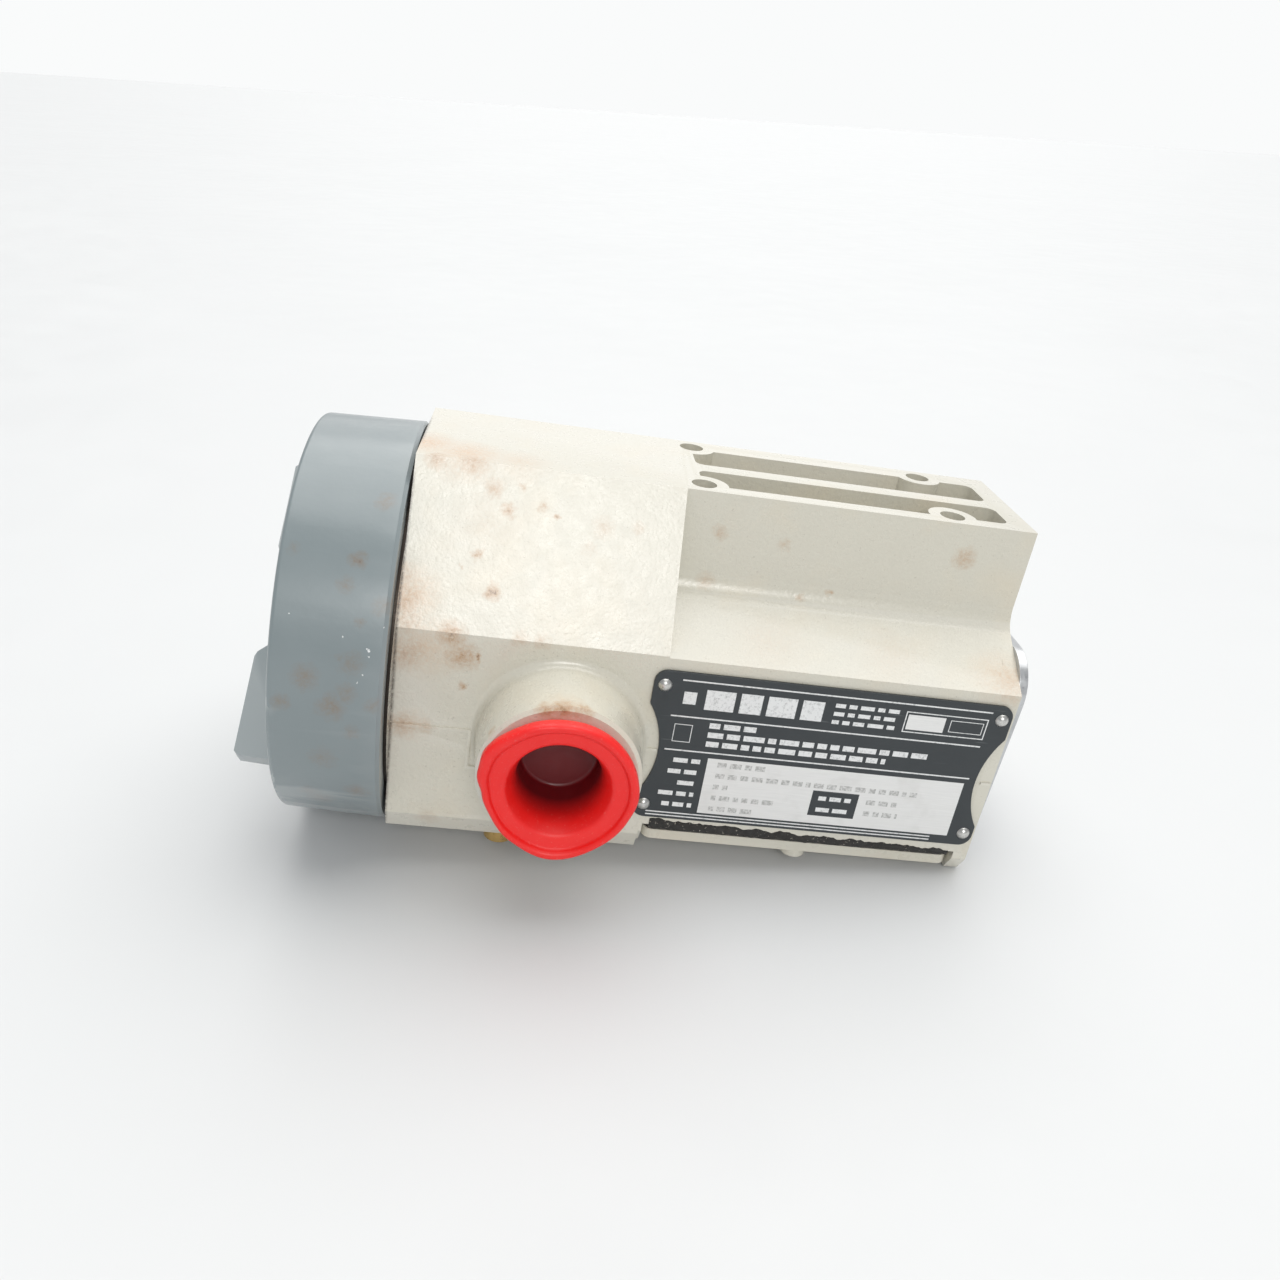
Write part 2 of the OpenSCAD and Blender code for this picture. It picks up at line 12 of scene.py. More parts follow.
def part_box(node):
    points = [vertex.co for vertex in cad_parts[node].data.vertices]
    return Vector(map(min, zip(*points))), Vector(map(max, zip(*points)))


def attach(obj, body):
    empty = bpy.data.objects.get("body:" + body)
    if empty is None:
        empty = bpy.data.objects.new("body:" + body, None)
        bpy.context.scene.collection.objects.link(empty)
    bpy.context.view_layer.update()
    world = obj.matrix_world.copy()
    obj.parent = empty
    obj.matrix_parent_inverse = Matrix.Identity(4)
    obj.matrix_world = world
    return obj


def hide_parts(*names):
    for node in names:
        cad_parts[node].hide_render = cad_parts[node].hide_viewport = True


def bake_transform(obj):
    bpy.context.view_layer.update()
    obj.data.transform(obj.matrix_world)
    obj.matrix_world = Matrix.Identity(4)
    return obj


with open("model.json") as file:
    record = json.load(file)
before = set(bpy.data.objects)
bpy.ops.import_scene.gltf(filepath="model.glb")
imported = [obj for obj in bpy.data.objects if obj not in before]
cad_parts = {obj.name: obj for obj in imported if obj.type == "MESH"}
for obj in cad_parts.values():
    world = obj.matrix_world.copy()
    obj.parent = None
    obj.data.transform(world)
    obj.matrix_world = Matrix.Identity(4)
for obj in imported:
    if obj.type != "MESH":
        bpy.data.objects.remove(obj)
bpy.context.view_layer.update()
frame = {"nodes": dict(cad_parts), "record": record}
MM = 0.001

# ---- places read from the frame ------------------------------------------

SEAM_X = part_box("cover")[1].x
AXIS_Z = (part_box("cover_o_ring")[0].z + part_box("cover_o_ring")[1].z) / 2
COVER_RADIUS = -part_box("cover")[0].y
CHAMBER_END_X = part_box("guide_sleeve")[0].x + 3 * MM
PLATE_LOW, PLATE_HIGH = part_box("nameplate")
PLUG_LOW, PLUG_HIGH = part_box("conduit_plug")
HUB_X = (PLUG_LOW.x + PLUG_HIGH.x) / 2
HUB_Z = (PLUG_LOW.z + PLUG_HIGH.z) / 2
SIDE_Y = PLATE_HIGH.y
BODY_OF = {
    node: body
    for body, nodes in frame["record"]["behaviour"]["bodies"].items()
    for node in nodes
}
SLOT_OF = {part["node"]: part["material_slot"] for part in frame["record"]["subparts"]}


# ---- material builder ----------------------------------------------------


class Finish:
    """One procedural material, built from short calls. Textures use the row frame, in metres."""

    def __init__(self, name, roughness=0.5, metallic=0.0, **constants):
        self.material = bpy.data.materials.new(name)
        self.material.use_nodes = True
        self.tree = self.material.node_tree
        self.shader = self.tree.nodes["Principled BSDF"]
        self.place = self.tree.nodes.new("ShaderNodeTexCoord").outputs["Object"]
        self.shader.inputs["Roughness"].default_value = roughness
        self.shader.inputs["Metallic"].default_value = metallic
        for socket, value in constants.items():
            self.shader.inputs[socket.replace("_", " ")].default_value = value

    def node(self, kind, inputs, output=0, **settings):
        made = self.tree.nodes.new("ShaderNode" + kind)
        for key, value in settings.items():
            setattr(made, key, value)
        for key, value in inputs.items():
            if isinstance(value, bpy.types.NodeSocket):
                self.tree.links.new(value, made.inputs[key])
            else:
                made.inputs[key].default_value = value
        return made.outputs[output]

    def noise(self, size, detail=3.0, rough=0.55, at=None):
        """Cloudy 0..1 value whose features are about size metres across."""
        inputs = {"Vector": at or self.place, "Scale": 1 / size, "Detail": detail, "Roughness": rough}
        return self.node("TexNoise", inputs)

    def cells(self, size, randomness=1.0):
        """Distance to the nearest of scattered points about size metres apart."""
        inputs = {"Vector": self.place, "Scale": 1 / size, "Randomness": randomness}
        return self.node("TexVoronoi", inputs)

    def stretched(self, along):
        """Coordinates squeezed per axis, for grain that runs one way."""
        return self.node("VectorMath", {0: self.place, 1: along}, operation="MULTIPLY")

    def span(self, value, low, high, to_low=0.0, to_high=1.0):
        inputs = {0: value, 1: low, 2: high, 3: to_low, 4: to_high}
        return self.node("MapRange", inputs, clamp=True)

    def times(self, a, b):
        return self.node("Math", {0: a, 1: b}, operation="MULTIPLY")

    def mix(self, share, a, b):
        inputs = {0: share, 6: self.colour(a), 7: self.colour(b)}
        return self.node("Mix", inputs, output=2, data_type="RGBA")

    @staticmethod
    def colour(value):
        return value if isinstance(value, bpy.types.NodeSocket) else (*value, 1.0)

    def axis(self, name):
        return self.node("SeparateXYZ", {0: self.place}, output="XYZ".index(name))

    def from_axis(self, height):
        """Distance from the cover's axis, a line along X at the given height."""
        flat = self.stretched((0.0, 1.0, 1.0))
        ends = {0: flat, 1: (0.0, 0.0, height)}
        return self.node("VectorMath", ends, "Value", operation="DISTANCE")

    def ragged(self, size, reach):
        """Coordinates nudged by a cloud, so that round marks get uneven outlines."""
        cloud = self.node("TexNoise", {"Vector": self.place, "Scale": 1 / size, "Detail": 4.0}, 1)
        centred = self.node("VectorMath", {0: cloud, 1: (0.5, 0.5, 0.5)}, operation="SUBTRACT")
        nudge = self.node("VectorMath", {0: centred, "Scale": reach}, operation="SCALE")
        return self.node("VectorMath", {0: self.place, 1: nudge}, operation="ADD")

    def marks(self, places, origin, spread):
        """Strongest of the marks at each point. A place is x, y, z from the origin, radius
        and strength, in millimetres; a mark fades out at spread times its radius."""
        at = self.ragged(2.2 * MM, 3.4 * MM)
        total = 0.0
        for x, y, z, radius, strength in places:
            centre = tuple(origin + Vector((x, y, z)) * MM)
            away = self.node("VectorMath", {0: at, 1: centre}, "Value", operation="DISTANCE")
            one = self.span(away, 0.0, radius * spread * MM, strength, 0.0)
            total = self.node("Math", {0: one, 1: total}, operation="MAXIMUM")
        return total

    def wire(self, socket, value):
        self.tree.links.new(value, self.shader.inputs[socket])

    def bump(self, height, depth, strength=1.0):
        """Adds relief of depth metres on top of any that is there already."""
        inputs = {"Height": height, "Distance": depth, "Strength": strength}
        before = self.shader.inputs["Normal"].links
        if before:
            inputs["Normal"] = before[0].from_socket
        self.wire("Normal", self.node("Bump", inputs))


def rust_specks(finish, size, spread, share):
    """Small scattered rust spots with soft edges, thinned out by a cloud mask."""
    ragged = finish.times(finish.noise(size * 0.35, 2), 0.16)
    spot = finish.node("Math", {0: finish.cells(size), 1: ragged}, operation="ADD")
    core = finish.span(spot, spread * 0.45, spread, 1.0, 0.0)
    mask = finish.span(finish.noise(size * 2.6, 1), 1 - share, 1 - share + 0.05)
    return finish.times(core, mask)


# Places of the marks were taken one by one from the picture and carried onto the surfaces through its
# camera.
# Rust on the casting, from the seam, the side face and the pad's plane: x, y, z, radius, strength.
CASTING_RUST = (
    (20.9, 17.4, -5.4, 1.6, 0.55), (25.1, 14.9, -10.0, 1.1, 0.75), (33.6, 15.8, -8.4, 0.8, 0.6),
    (18.5, 9.4, -20.7, 0.9, 0.9), (23.5, 5.3, -28.4, 1.2, 1.0), (37.4, 14.9, -10.1, 0.5, 0.8),
    (49.4, 14.2, -11.4, 1.9, 0.3), (15.0, 7.7, -23.7, 0.4, 0.8), (0.8, 5.0, -25.8, 1.9, 0.45),
    (2.1, 3.0, -32.7, 2.4, 0.5), (3.3, 0.7, -37.2, 1.9, 0.45), (14.6, 0.0, -39.2, 2.1, 0.8),
    (3.2, 0.0, -45.8, 2.7, 0.6), (17.6, 0.0, -44.8, 2.4, 0.65), (21.6, 0.0, -44.8, 0.7, 1.0),
    (18.0, 0.0, -53.1, 0.8, 0.8), (3.8, -0.5, -66.7, 2.2, 0.8), (9.9, -0.5, -66.4, 1.4, 0.5),
    (0.5, -2.0, -41.3, 0.8, 0.9), (31.6, 0.2, -38.2, 1.3, 0.4), (36.9, 0.1, -38.4, 1.3, 0.4),
    (5.8, 19.9, -0.6, 1.6, 0.75), (14.9, 20.1, -0.2, 1.9, 0.65), (43.2, -18.8, -46.0, 1.8, 0.95),
    (38.9, -18.6, -46.7, 1.5, 0.75), (48.3, -18.3, -46.0, 1.5, 0.7), (26.3, -16.8, -55.3, 1.0, 0.6),
    (28.0, 17.8, -4.6, 0.7, 0.5), (58.4, 14.7, -10.4, 1.1, 0.3), (46.2, 11.7, -16.3, 1.3, 0.25),
    (147.3, 20.2, -9.5, 1.9, 0.55), (80.3, 20.2, -10.8, 1.3, 0.45), (78.8, 19.7, -24.8, 1.6, 0.35),
    (98.0, 20.2, -12.0, 1.2, 0.3), (113.0, 20.2, -24.0, 0.7, 0.6), (105.0, 19.5, -26.0, 0.8, 0.4),
    (125.0, 41.0, -6.0, 1.2, 0.7), (163.0, 3.0, -37.0, 3.0, 0.4), (12.0, 0.0, -96.0, 2.0, 0.4),
)
# Wide faint rust wash, given the same way.
CASTING_WASH = (
    (2.4, 31.0, 0.0, 9.0, 0.95), (13.0, 26.0, 0.0, 10.0, 0.80), (26.0, 25.0, 0.0, 8.0, 0.40),
    (3.0, 3.0, -31.0, 8.0, 0.70), (8.0, 0.0, -43.0, 9.0, 0.50), (96.0, 8.0, -37.0, 10.0, 0.22),
    (130.0, 8.0, -37.0, 9.0, 0.20), (160.0, 4.0, -36.0, 9.0, 0.40), (44.0, -19.0, -46.0, 6.0, 0.40),
    (20.0, 12.0, -12.0, 9.0, 0.15), (6.0, 0.0, -66.0, 5.0, 0.35),
)
# Brown scuffs and white chips on the cover, from its axis at the seam.
COVER_SCUFFS = (
    (-4.7, -31.9, 46.8, 1.6, 0.60), (-8.9, -43.7, 35.7, 1.3, 0.80), (-11.1, -47.4, 30.4, 1.3, 0.45),
    (-6.8, -51.6, 23.1, 0.8, 0.50), (-18.6, -55.3, 8.7, 2.0, 0.55), (-12.0, -56.3, 2.0, 2.1, 0.65),
    (-15.7, -46.4, -31.5, 2.2, 0.55), (-5.7, -50.2, -26.1, 1.9, 0.55), (-1.7, -49.9, 27.1, 1.5, 0.50),
    (-7.7, -54.9, 13.4, 1.8, 0.45), (-23.9, -55.7, 1.7, 1.4, 0.50), (-8.4, -56.1, 6.0, 1.6, 0.50),
    (-18.2, -47.9, -29.1, 1.8, 0.50), (-2.0, -56.7, 3.4, 1.3, 0.50), (-10.9, -54.4, 14.8, 0.8, 0.4),
    (-24.2, -42.4, 36.2, 1.1, 0.30), (-6.8, -56.3, -4.9, 1.3, 0.45), (-14.0, -54.0, -14.0, 2.2, 0.4),
)
COVER_CHIPS = (
    (-4.0, -54.0, 17.2, 0.3, 1.0), (-3.9, -54.4, 15.7, 0.3, 1.0), (-5.9, -55.8, 9.3, 0.3, 1.0),
    (-1.2, -51.8, 23.2, 0.3, 1.0), (-4.8, -55.5, 11.2, 0.35, 1.0), (-6.7, -55.9, 8.3, 0.25, 1.0),
    (-23.5, -50.7, 23.4, 0.25, 1.0), (-10.1, -53.0, 19.2, 0.25, 1.0),
)


def rusted(finish, base, places, wash, origin, halo, core):
    """Adds a faint wash, soft halos and dark cores to a paint colour."""
    grain = finish.span(finish.noise(1.0 * MM, 4, 0.75), 0.34, 0.62, 0.35, 1.0)
    if wash:
        tint = finish.times(finish.marks(wash, origin, 1.2), grain)
        base = finish.mix(tint, base, (0.62, 0.36, 0.17))
    field = finish.times(finish.marks(places, origin, 2.3), grain)
    base = finish.mix(finish.span(field, 0.03, 0.50, 0.0, 0.75), base, halo)
    return finish.mix(finish.span(field, 0.50, 0.85, 0.0, 0.80), base, core)


def cream_epoxy():
    f = Finish("cream_epoxy", roughness=0.30, Coat_Weight=0.6, Coat_Roughness=0.20)
    base = f.mix(f.noise(30 * MM, 3), (0.635, 0.608, 0.520), (0.670, 0.648, 0.556))
    warm = f.span(f.noise(22 * MM, 4), 0.50, 0.74, 0.0, 0.30)
    base = f.mix(warm, base, (0.72, 0.61, 0.44))
    grime = f.span(f.noise(0.9 * MM, 2, 0.7), 0.66, 0.74, 0.0, 0.30)
    base = f.mix(grime, base, (0.25, 0.22, 0.17))
    corner = Vector((SEAM_X, SIDE_Y, 0))
    base = rusted(f, base, CASTING_RUST, CASTING_WASH, corner, (0.46, 0.27, 0.13),
                  (0.12, 0.065, 0.035))
    base = f.mix(f.times(rust_specks(f, 11 * MM, 0.12, 0.34), 0.75), base, (0.20, 0.11, 0.05))
    worn = f.span(f.node("NewGeometry", {}, output=7), 0.545, 0.60, 0.0, 0.25)
    base = f.mix(worn, base, (0.80, 0.78, 0.72))
    # Near-black band on the shoulder at the cover's seam: grime, and painted shade for the gap
    # between cover and casting.
    near_seam = f.span(f.axis("X"), SEAM_X + 0.8 * MM, SEAM_X + 1.5 * MM, 0.9, 0.0)
    under_cover = f.span(f.from_axis(AXIS_Z), COVER_RADIUS + 0.5 * MM, COVER_RADIUS + 2 * MM, 1, 0)
    grit = f.span(f.noise(1.1 * MM, 4, 0.8), 0.30, 0.55)
    seam_grime_and_shade = f.times(f.times(near_seam, under_cover), grit)
    base = f.mix(seam_grime_and_shade, base, (0.085, 0.068, 0.055))
    f.wire("Base Color", base)
    f.wire("Roughness", f.span(f.noise(4 * MM, 3), 0.3, 0.7, 0.24, 0.36))
    f.bump(f.noise(1.0 * MM, 2, 0.5), 0.13 * MM, 0.9)
    f.bump(f.noise(0.35 * MM, 1, 0.5), 0.03 * MM, 0.5)
    return f.material


def grey_paint():
    f = Finish("grey_paint", roughness=0.36, Coat_Weight=0.8, Coat_Roughness=0.26)
    base = f.mix(f.noise(26 * MM, 3), (0.190, 0.230, 0.240), (0.230, 0.272, 0.284))
    axis = Vector((SEAM_X, 0, AXIS_Z))
    base = rusted(f, base, COVER_SCUFFS, (), axis, (0.225, 0.18, 0.14), (0.13, 0.085, 0.06))
    base = f.mix(f.times(rust_specks(f, 9 * MM, 0.10, 0.34), 0.5), base, (0.14, 0.09, 0.05))
    chips = f.span(f.marks(COVER_CHIPS, axis, 1.5), 0.30, 0.45)
    base = f.mix(chips, base, (0.78, 0.80, 0.80))
    worn = f.span(f.node("NewGeometry", {}, output=7), 0.53, 0.58, 0.0, 0.45)
    base = f.mix(worn, base, (0.40, 0.43, 0.44))
    f.wire("Base Color", base)
    f.wire("Roughness", f.span(f.noise(5 * MM, 3), 0.3, 0.7, 0.30, 0.42))
    f.bump(f.noise(1.4 * MM, 2, 0.5), 0.05 * MM, 0.6)
    return f.material


def red_plastic():
    f = Finish("red_plastic", roughness=0.38, Subsurface_Weight=0.08, Subsurface_Scale=0.0015)
    f.shader.inputs["Subsurface Radius"].default_value = (1.0, 0.25, 0.2)
    base = f.mix(f.noise(9 * MM, 2), (0.84, 0.009, 0.009), (0.91, 0.018, 0.015))
    dust = f.times(f.span(f.noise(0.7 * MM, 3, 0.7), 0.60, 0.72), 0.25)
    base = f.mix(dust, base, (0.85, 0.30, 0.26))
    # Painted shade: the red darkens to near black deeper inside the cup, where little light reaches.
    painted_cup_shade = f.span(f.axis("Y"), PLUG_LOW.y + 5 * MM, PLUG_LOW.y + 14 * MM, 0.0, 0.92)
    base = f.mix(painted_cup_shade, base, (0.075, 0.004, 0.007))
    f.wire("Base Color", base)
    f.wire("Roughness", f.span(f.noise(3 * MM, 3), 0.3, 0.7, 0.30, 0.50))
    f.bump(f.noise(2.2 * MM, 3, 0.6), 0.06 * MM, 0.6)
    return f.material


def metal(name, dark, light, roughness, grain=(1.0, 1.0, 1.0), size=1.2 * MM, depth=0.02 * MM):
    """Bare or plated metal with fine grain; grain squeezes the texture along chosen axes."""
    f = Finish(name, roughness=roughness, metallic=1.0)
    lines = f.noise(size, 4, 0.6, at=f.stretched(grain))
    base = f.mix(lines, dark, light)
    tarnish = f.span(f.noise(7 * MM, 3), 0.50, 0.75, 0.0, 0.35)
    f.wire("Base Color", f.mix(tarnish, base, [c * 0.55 for c in dark]))
    f.wire("Roughness", f.span(lines, 0.3, 0.7, roughness * 0.8, roughness * 1.25))
    f.bump(lines, depth, 0.5)
    return f.material


def moulded(name, dark, light, roughness, size=0.8 * MM, depth=0.02 * MM):
    """Moulded plastic, rubber or varnish: small colour drift, uneven sheen and fine relief."""
    f = Finish(name, roughness=roughness)
    f.wire("Base Color", f.mix(f.noise(6 * MM, 3), dark, light))
    f.wire("Roughness", f.span(f.noise(2.5 * MM, 3), 0.3, 0.7, roughness * 0.85, roughness * 1.15))
    f.bump(f.noise(size, 3, 0.6), depth, 0.7)
    return f.material


def charcoal_plate():
    f = Finish("charcoal_plate", roughness=0.40)
    base = f.mix(f.noise(12 * MM, 3), (0.026, 0.032, 0.036), (0.038, 0.045, 0.050))
    scratches = f.noise(0.8 * MM, 2, 0.6, at=f.stretched((0.06, 1.0, 1.0)))
    base = f.mix(f.span(scratches, 0.70, 0.78, 0.0, 0.22), base, (0.25, 0.26, 0.27))
    f.wire("Base Color", base)
    f.wire("Roughness", f.span(f.noise(3 * MM, 3), 0.3, 0.7, 0.34, 0.50))
    f.bump(f.noise(0.9 * MM, 2), 0.01 * MM, 0.5)
    return f.material


def data_field():
    f = Finish("data_field", roughness=0.42, metallic=0.15)
    brushed = f.noise(0.5 * MM, 3, 0.6, at=f.stretched((0.05, 1.0, 1.0)))
    base = f.mix(brushed, (0.72, 0.72, 0.71), (0.86, 0.86, 0.85))
    base = f.mix(f.span(f.noise(8 * MM, 3), 0.55, 0.8, 0.0, 0.3), base, (0.52, 0.51, 0.48))
    f.wire("Base Color", base)
    f.wire("Roughness", f.span(brushed, 0.3, 0.7, 0.36, 0.50))
    return f.material


def plate_print():
    f = Finish("plate_print", roughness=0.45)
    patchy = f.span(f.noise(0.8 * MM, 3, 0.7), 0.30, 0.50)
    f.wire("Base Color", f.mix(patchy, (0.50, 0.51, 0.51), (0.80, 0.81, 0.81)))
    f.wire("Roughness", f.span(f.noise(2 * MM, 2), 0.3, 0.7, 0.38, 0.52))
    return f.material


def faint_ink():
    f = Finish("faint_ink", roughness=0.5)
    worn = f.span(f.noise(0.7 * MM, 3, 0.7), 0.42, 0.58)
    f.wire("Base Color", f.mix(worn, (0.42, 0.42, 0.41), (0.68, 0.68, 0.67)))
    f.wire("Roughness", f.span(f.noise(1 * MM, 2), 0.3, 0.7, 0.42, 0.58))
    return f.material


def gasket_compound():
    f = Finish("gasket_compound", roughness=0.8)
    base = f.mix(f.noise(1.5 * MM, 4, 0.7), (0.012, 0.012, 0.012), (0.055, 0.052, 0.048))
    f.wire("Base Color", f.mix(f.span(f.noise(0.6 * MM, 2), 0.66, 0.72), base, (0.35, 0.33, 0.28)))
    f.wire("Roughness", f.span(f.noise(2 * MM, 3), 0.3, 0.7, 0.65, 0.95))
    f.bump(f.noise(0.8 * MM, 4, 0.7), 0.25 * MM, 0.9)
    return f.material


def table_top():
    f = Finish("table_top", roughness=0.55)
    f.wire("Base Color", f.mix(f.noise(0.25, 2), (0.69, 0.70, 0.705), (0.72, 0.73, 0.735)))
    f.wire("Roughness", f.span(f.noise(0.04, 3), 0.3, 0.7, 0.48, 0.62))
    f.bump(f.noise(0.004, 2), 0.05 * MM, 0.3)
    return f.material


def bare_casting():
    """Machined aluminium inside the casting, black with old grease at the cover's seam."""
    f = Finish("bare_casting", roughness=0.42, metallic=1.0)
    lines = f.noise(0.6 * MM, 4, 0.6)
    base = f.mix(lines, (0.48, 0.48, 0.47), (0.62, 0.62, 0.60))
    base = f.mix(f.span(f.noise(7 * MM, 3), 0.50, 0.75, 0.0, 0.35), base, (0.27, 0.27, 0.26))
    grease = f.span(f.axis("X"), SEAM_X - 4 * MM, SEAM_X - 2 * MM)
    box_end = f.span(f.axis("X"), SEAM_X + 3 * MM, SEAM_X + 4 * MM, 1.0, 0.0)
    base = f.mix(f.times(grease, box_end), base, (0.05, 0.042, 0.036))
    f.wire("Base Color", base)
    f.wire("Roughness", f.span(lines, 0.3, 0.7, 0.34, 0.55))
    f.bump(lines, 0.02 * MM, 0.5)
    return f.material


CREAM = cream_epoxy()
BARE = bare_casting()
FINISHES = {
    "epoxy_cream": CREAM,
    "painted_screws": CREAM,
    "paint_grey": grey_paint(),
    "plastic_red": red_plastic(),
    "plate_dark": charcoal_plate(),
    "gasket_black": gasket_compound(),
    "steel_bright": metal("steel_bright", (0.52, 0.52, 0.50), (0.70, 0.69, 0.67), 0.30),
    "stainless": metal("stainless", (0.50, 0.51, 0.52), (0.66, 0.67, 0.68), 0.32,
                       grain=(1.0, 0.06, 1.0)),
    "spring_steel": metal("spring_steel", (0.20, 0.205, 0.215), (0.34, 0.345, 0.355), 0.35),
    "brass": metal("brass", (0.55, 0.36, 0.13), (0.75, 0.53, 0.22), 0.30),
    "zinc_plated": metal("zinc_plated", (0.52, 0.51, 0.45), (0.70, 0.69, 0.63), 0.36, size=3 * MM),
    "green_zinc": metal("green_zinc", (0.03, 0.22, 0.07), (0.06, 0.32, 0.12), 0.38),
    "rubber_black": moulded("rubber_black", (0.012, 0.012, 0.013), (0.03, 0.03, 0.03), 0.60),
    "diaphragm_rubber": moulded("diaphragm_rubber", (0.06, 0.03, 0.02), (0.11, 0.06, 0.04), 0.65),
    "phenolic_black": moulded("phenolic_black", (0.018, 0.018, 0.019), (0.04, 0.04, 0.042), 0.40),
    "plastic_ivory": moulded("plastic_ivory", (0.60, 0.54, 0.40), (0.68, 0.62, 0.48), 0.40),
    "lead_sleeve": moulded("lead_sleeve", (0.38, 0.02, 0.015), (0.50, 0.04, 0.03), 0.38),
}


# ---- pieces made from the CAD solids -------------------------------------


def piece(name, mesh, body, materials):
    made = bpy.data.objects.new(name, mesh)
    bpy.context.scene.collection.objects.link(made)
    for material in materials:
        mesh.materials.append(material)
    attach(made, body)
    return made


def mesh_of(bm, name):
    mesh = bpy.data.meshes.new(name)
    bm.normal_update()
    bm.to_mesh(mesh)
    bm.free()
    return mesh


def clean_solid(node):
    """The node's solid with its flat faces merged back into single faces."""
    bm = bmesh.new()
    bm.from_mesh(frame["nodes"][node].data)
    bmesh.ops.remove_doubles(bm, verts=bm.verts, dist=1e-6)
    bmesh.ops.dissolve_limit(bm, angle_limit=math.radians(0.5), verts=bm.verts, edges=bm.edges)
    return bm


CREASE = math.radians(20)


def soften(node, radius, wanted=None, second=None, shortest=0.0, segments=3):
    """A copy of the node with its crisp edges rounded.

    wanted(edge centre) chooses the edges, and second(face centre, normal) the faces that
    take the bare metal instead of the paint.
    """
    bm = clean_solid(node)
    weight = bm.edges.layers.float.new("bevel_weight_edge")
    for edge in bm.edges:
        sharp = edge.is_manifold and edge.calc_face_angle() > CREASE
        edge.smooth = not sharp
        centre = (edge.verts[0].co + edge.verts[1].co) / 2
        if sharp and edge.calc_length() > shortest and (wanted is None or wanted(centre)):
            edge[weight] = 1.0
    for face in bm.faces:
        face.smooth = True
        bare = second is not None and second(face.calc_center_median(), face.normal)
        face.material_index = 1 if bare else 0
    materials = [FINISHES[SLOT_OF[node]]] + ([BARE] if second else [])
    made = piece(node + "_detail", mesh_of(bm, node), BODY_OF[node], materials)
    bevel = made.modifiers.new("rounded edges", "BEVEL")
    bevel.width = radius
    bevel.segments = segments
    bevel.limit_method = "WEIGHT"
    bevel.use_clamp_overlap = True
    bevel.harden_normals = True
    made.modifiers.new("weighted normals", "WEIGHTED_NORMAL").keep_sharp = True
    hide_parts(node)
    return made


# ---- housing -------------------------------------------------------------


NECK_RADIUS = 51 * MM
CHAMBER_RADIUS = 42.3 * MM
HUB_BORE_RADIUS = 13.5 * MM
SHOULDER_DEPTH = 2 * MM


def is_inside_casting(centre, normal):
    """Unpainted surfaces: neck, chamber and hub bore. The painted shoulder is left out."""
    from_axis = math.hypot(centre.y, centre.z - AXIS_Z)
    from_hub = math.hypot(centre.x - HUB_X, centre.z - HUB_Z)
    neck = centre.x < SEAM_X - 0.5 * MM and from_axis < NECK_RADIUS
    chamber = centre.x < CHAMBER_END_X + 0.5 * MM and from_axis < CHAMBER_RADIUS
    hub_bore = from_hub < HUB_BORE_RADIUS and abs(normal.y) < 0.5
    shoulder = normal.x < -0.9 and SEAM_X < centre.x < SEAM_X + SHOULDER_DEPTH
    return not shoulder and (neck or chamber or hub_bore)


def casting_edge(centre):
    """Cast outer edges get rounded; threads, bores, rivet holes and the parting bead don't."""
    if centre.x < SEAM_X + 0.3 * MM:
        return False
    if abs(abs(centre.y) + SIDE_Y) < 1.2 * MM and PLATE_LOW.x - 40 * MM < centre.x:
        in_plate = PLATE_LOW.z < centre.z < PLATE_HIGH.z
        return not in_plate
    return True


soften("housing", 1.0 * MM, wanted=casting_edge, second=is_inside_casting)
soften("cover", 0.9 * MM, wanted=lambda c: c.x < SEAM_X - 20 * MM and abs(c.y) < 50 * MM)
for node, radius in {
    "adjustment_cover": 0.5, "adjustment_screws": 0.35, "clamp_plate": 0.3, "clamp_screws": 0.35,
    "pressure_port": 0.4, "pressure_piston": 0.3, "operating_rod": 0.2, "spring_seat": 0.3,
    "adjusting_nut": 0.4, "guide_sleeve": 0.3, "switch_bracket": 0.3, "bracket_screws": 0.2,
    "snap_switch": 0.5, "switch_plunger": 0.3, "switch_screws": 0.2, "switch_terminals": 0.15,
    "terminal_block": 0.3, "terminal_screws": 0.15, "ground_screw": 0.3,
    "outer_ground_screw": 0.3, "nameplate": 0.15, "diaphragm": 0.15,
}.items():
    soften(node, radius * MM)
for node in ("nameplate_rivets", "cover_o_ring", "port_o_ring", "leads"):
    frame["nodes"][node].data.materials.clear()
    frame["nodes"][node].data.materials.append(FINISHES[SLOT_OF[node]])


# ---- shipping plug -------------------------------------------------------

FLANGE_UNDER_Y = PLUG_LOW.y + 3.8 * MM
FLANGE_INNER_R = 14.0
FLANGE_OUTER_R = 19.7
# Outside then inside of the plug: radius and distance out from the flange's underside, in mm.
PLUG_OUTSIDE = (
    (0, -17.5), (10.6, -17.5), (11.4, -17.2), (11.8, -16.6), (12.35, -4.3), (12.5, -3.1),
    (13.5, -0.6), (14.0, 0.0), (19.1, 0.0), (19.5, 0.15), (19.7, 0.6), (19.75, 1.6),
)
PLUG_LIP = [(18.5 + 1.25 * math.cos(math.radians(a)), 2.5 + 1.25 * math.sin(math.radians(a)))
            for a in range(0, 181, 20)]
PLUG_INSIDE = (
    (17.0, 2.15), (16.4, 2.05), (14.2, 2.0), (13.5, 1.8), (12.9, 1.2), (11.3, -3.1),
    (10.9, -4.3), (10.4, -15.0), (10.1, -15.7), (9.4, -15.9), (0, -15.9),
)
# How far the soft flange has been pushed out of round, and out of flat in mm, by angle.
FLANGE_WARP = (
    (0, 1.00, -0.2), (45, 0.985, -0.3), (90, 1.0, 0.3), (120, 1.03, 0.7), (152, 1.09, 1.0),
    (168, 1.04, 0.4), (188, 0.95, -0.5), (208, 0.93, -0.9), (235, 0.95, -0.5), (270, 1.0, 0.2),
    (310, 0.955, 0.0), (340, 0.97, -0.2), (360, 1.00, -0.2),
)


